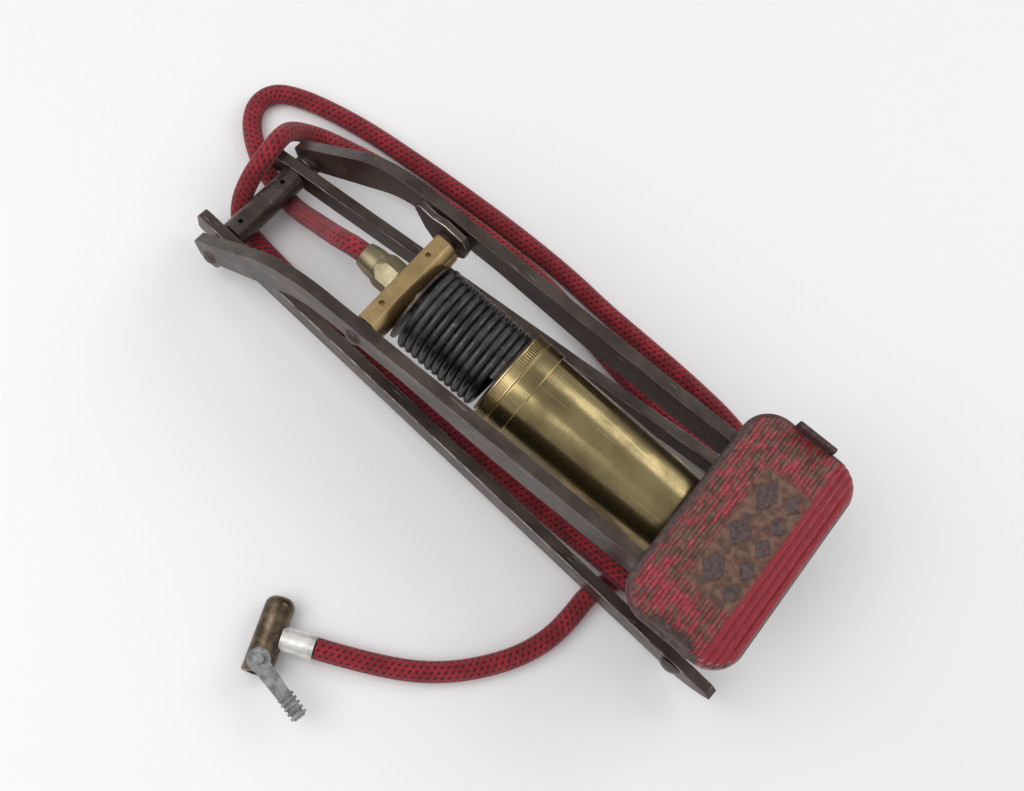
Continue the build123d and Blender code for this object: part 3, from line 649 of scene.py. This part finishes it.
def relief(x, y, rim):
    """Height of the tread above its ground, in mm; rim is the distance from the outline."""
    in_panel = 1 - smooth_step(abs(y), PANEL[2] - 0.8, PANEL[2] + 0.8)
    in_panel *= smooth_step(x, PANEL[0] - 0.6, PANEL[0] + 0.6)
    in_panel *= 1 - smooth_step(x, PANEL[1] - 0.6, PANEL[1] + 0.6)
    fine = 0.34 * (0.5 - 0.5 * cos(2 * pi * x / 1.9)) ** 0.7
    broken = 0.55 + 0.45 * smooth_step(noise.noise(Vector((x * 0.3, y * 0.12, 4.0))), -0.25, 0.2)
    wide = 0.85 * (0.5 - 0.5 * cos(2 * pi * (x - 42.2) / 3.1)) ** 0.6
    ribs = fine * broken if x < 42.2 else wide
    ribs *= smooth_step(rim, 1.6, 3.6) if x < 42.2 else smooth_step(rim, 0.2, 1.2)
    bumps = 0.0
    for k in (-1, 0, 1):
        bumps = max(bumps, lozenge(x, y, 25.0, 20.0 * k, 5.8, 9.4))
    for k in range(-2, 3):
        bumps = max(bumps, lozenge(x, y, 36.6, 12.0 * k, 4.4, 5.4))
    dent = 0.12 * noise.noise(Vector((x * 0.25, y * 0.25, 9.0)))
    return ribs * (1 - in_panel) + in_panel * (bumps * 0.75 - 0.15) + dent


tread = bmesh.new()
bmesh.ops.create_grid(tread, x_segments=208, y_segments=260, size=0.5)
for v in tread.verts:
    x, y = v.co.x * PEDAL_DEPTH, v.co.y * 2 * PEDAL_HALF
    over_x, over_y = abs(x) - (PEDAL_DEPTH / 2 - CORNER), abs(y) - (PEDAL_HALF - CORNER)
    rim = min(PEDAL_DEPTH / 2 - abs(x), PEDAL_HALF - abs(y))
    if over_x > 0 and over_y > 0:
        reach = max(over_x, over_y)
        shrink = reach / hypot(over_x, over_y)
        x += (over_x * shrink - over_x) * (1 if x > 0 else -1)
        y += (over_y * shrink - over_y) * (1 if y > 0 else -1)
        rim = CORNER - reach
    drop = ROLL - (max(0.0, ROLL**2 - max(0.0, ROLL - rim) ** 2)) ** 0.5
    height = PEDAL_THICK - 0.95 - drop * 0.8 + relief(x + PEDAL_DEPTH / 2, y, rim) * smooth_step(rim, 0, 0.8)
    v.co = at(PEDAL_REAR + PEDAL_DEPTH / 2 + x, y, PEDAL_UNDER + height)
skirt = [e for e in tread.edges if e.is_boundary]
walls = bmesh.ops.extrude_edge_only(tread, edges=skirt)["geom"]
floor_z = at(0, 0, PEDAL_UNDER).z
for v in (g for g in walls if isinstance(g, bmesh.types.BMVert)):
    v.co.z = floor_z
bmesh.ops.holes_fill(tread, edges=[e for e in tread.edges if e.is_boundary], sides=0)
for side in (-1, 1):
    middle = at(LIP_X, side * (PEDAL_HALF - 2.0), PEDAL_UNDER + LIP_RISE)
    size = Matrix.Diagonal((*LIP_SIZE, 1))
    lip = bmesh.ops.create_cube(tread, size=1, matrix=Matrix.Translation(middle) @ size)["verts"]
    edges = list({e for v in lip for e in v.link_edges})
    bmesh.ops.bevel(tread, geom=edges, offset=0.0009, affect="EDGES", segments=3, profile=0.5, material=-1)
bmesh.ops.recalc_face_normals(tread, faces=tread.faces)
print("pedal", len(tread.faces), "faces")

# %% [markdown]
# Red paint survives on the front ribs; the hollows between the ribs are darkened to a deep red,
# a painted shade. Boots have worn the paint off the tops of the ribs, round the rim and on the
# panel, where the iron is brown with dirt. Broken paint is a noise stretched along the ribs, and
# chalky pink scuffs lie on top of it.

# %% Pedal paint
def worn_paint():
    made = Finish("pedal_paint")
    x, y, z = made.parts(made.moved(made.place, shift=tuple(-1000 * v for v in at(PEDAL_REAR, 0, PEDAL_UNDER))))
    ends = y.size()
    panel = ends.over(32.5, 30.0) * x.over(16.5, 19.5) * x.over(43.0, 41.0)
    chips = made.noise(0.32, 4, stretch=(1.7, 0.45, 1))
    blotch = made.noise(0.055, 3, shift=(40, 10, 0))
    front = x.over(40.5, 43.0)
    near_rear = x.over(3.4, 1.4)
    near_end = ends.over(52.8, 54.6)
    rim = near_rear.most(near_end)
    bare = (chips + blotch * 0.5 - front * 0.3 + rim * 0.3).over(0.69, 0.78)
    bare = bare.most(panel * made.noise(0.22, 4).over(0.26, 0.4))
    dull = made.mix(made.noise(0.6, 3).over(0.4, 0.62), colour(142, 30, 44), colour(176, 54, 68))
    red = made.mix(front * 0.85, dull, colour(136, 12, 30))
    scuffs = made.noise(0.75, 3, stretch=(2.2, 0.35, 1), shift=(9, 0, 0)).over(0.6, 0.7)
    red = made.mix(scuffs * (1.0 - front * 0.6) * 0.75, red, colour(206, 104, 116))
    dirt = made.mix(made.noise(0.28, 4).over(0.36, 0.66), colour(74, 50, 42), colour(112, 86, 68))
    iron = made.mix(made.noise(0.5, 3).over(0.35, 0.65), colour(50, 44, 43), colour(78, 69, 66))
    metal = made.mix(rim, dirt, iron)
    top = z.over(4.55, 4.8)
    metal = made.mix(panel * top, metal, iron)
    lip = z.over(5.6, 6.6)
    metal = made.mix(lip, metal, iron)
    bare = bare.most(lip)
    tone = made.mix(bare * 0.95, red, metal)
    # painted shade: the grooves between the ribs darken to a deep red
    groove_shade = z.over(4.44, 4.16) * (1.0 - panel) * (1.0 - rim)
    tone = made.mix(groove_shade * 0.8, tone, colour(62, 22, 24))
    made.set(Base_Color=tone, Roughness=bare * 0.2 + chips * 0.25 + 0.28 - front * 0.12)
    made.set(Metallic=bare * lip * 0.4, Coat_Weight=(1.0 - bare) * front * 0.4)
    made.bump(made.noise(1.2, 4) * 0.5 - bare * 0.4, 0.2, 0.6)
    return made.material


pedal = finished("pedal_finish", tread, "lever", worn_paint(), sharp=60)
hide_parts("pedal")

# %% Finishes for the pieces inside and below
IRON = plain_metal("foot_iron", colour(44, 40, 38), colour(78, 70, 64), 0.5, 0.5, 0.2)
ROD_STEEL = plain_metal("rod_steel", colour(150, 147, 142), colour(190, 188, 184), 0.9, 0.2, 0.2)
LEATHER = plain_metal("cup_leather_brown", colour(72, 44, 26), colour(120, 80, 48), 0.0, 0.6, 0.6)
FELT = plain_metal("head_felt_grey", colour(130, 124, 110), colour(160, 154, 140), 0.0, 0.9, 0.9)
RUBBER = plain_metal("washer_rubber", colour(20, 20, 20), colour(36, 35, 34), 0.0, 0.6, 0.5)
plain = {
    IRON: ("base_plug",),
    STEEL: ("front_pin", "foot_spacers", "pedal_rivets", "pedal_brackets", "catch_washers",
            "upper_spring_seat", "lower_spring_seat", "cup_retainer"),
    ROD_STEEL: ("piston_rod", "piston_nut", "check_ball"),
    BRASS: ("hose_nipple", "piston_body", "valve_seat", "rod_guide"),
    LEATHER: ("cup_leather", "plug_gasket"),
    FELT: ("head_felt",),
    RUBBER: ("chuck_washer",),
}
for material, names in plain.items():
    for name in names:
        nodes[name].data.materials.clear()
        nodes[name].data.materials.append(material)
print("plain finishes on", sum(len(n) for n in plain.values()), "nodes")

# %% [markdown]
# The pump lies on a pale floor under a large soft light. A second, weaker light fills the far
# side, and the sky is almost white, so that the shadows stay faint.

# %% Floor and lights
ground = bmesh.new()
bmesh.ops.create_grid(ground, x_segments=1, y_segments=1, size=3.0)
ground_mesh = bpy.data.meshes.new("floor")
ground.to_mesh(ground_mesh)
ground.free()
floor = bpy.data.objects.new("floor", ground_mesh)
floor.location.z = cad_low.z - 0.00005
scene.collection.objects.link(floor)
pale = Finish("floor_paper")
pale.set(Base_Color=colour(246, 246, 247), Roughness=0.9)
ground_mesh.materials.append(pale.material)

world = bpy.data.worlds.new("studio")
scene.world = world
world.use_nodes = True
world.node_tree.nodes["Background"].inputs["Color"].default_value = (1.0, 1.0, 1.0, 1.0)
world.node_tree.nodes["Background"].inputs["Strength"].default_value = 0.56


def softbox(name, place, aim, width, power):
    """A square light at a working point, turned to another."""
    data = bpy.data.lights.new(name, "AREA")
    data.shape, data.size, data.energy = "SQUARE", width, power
    lamp = bpy.data.objects.new(name, data)
    scene.collection.objects.link(lamp)
    lamp.location = at(*place)
    lamp.rotation_mode = "QUATERNION"
    lamp.rotation_quaternion = (at(*aim) - at(*place)).to_track_quat("-Z", "Y")


softbox("key", (-250, -500, 900), (140, 0, 20), 0.9, 5.8)
softbox("rim", (500, 700, 700), (140, 0, 20), 0.6, 2.2)
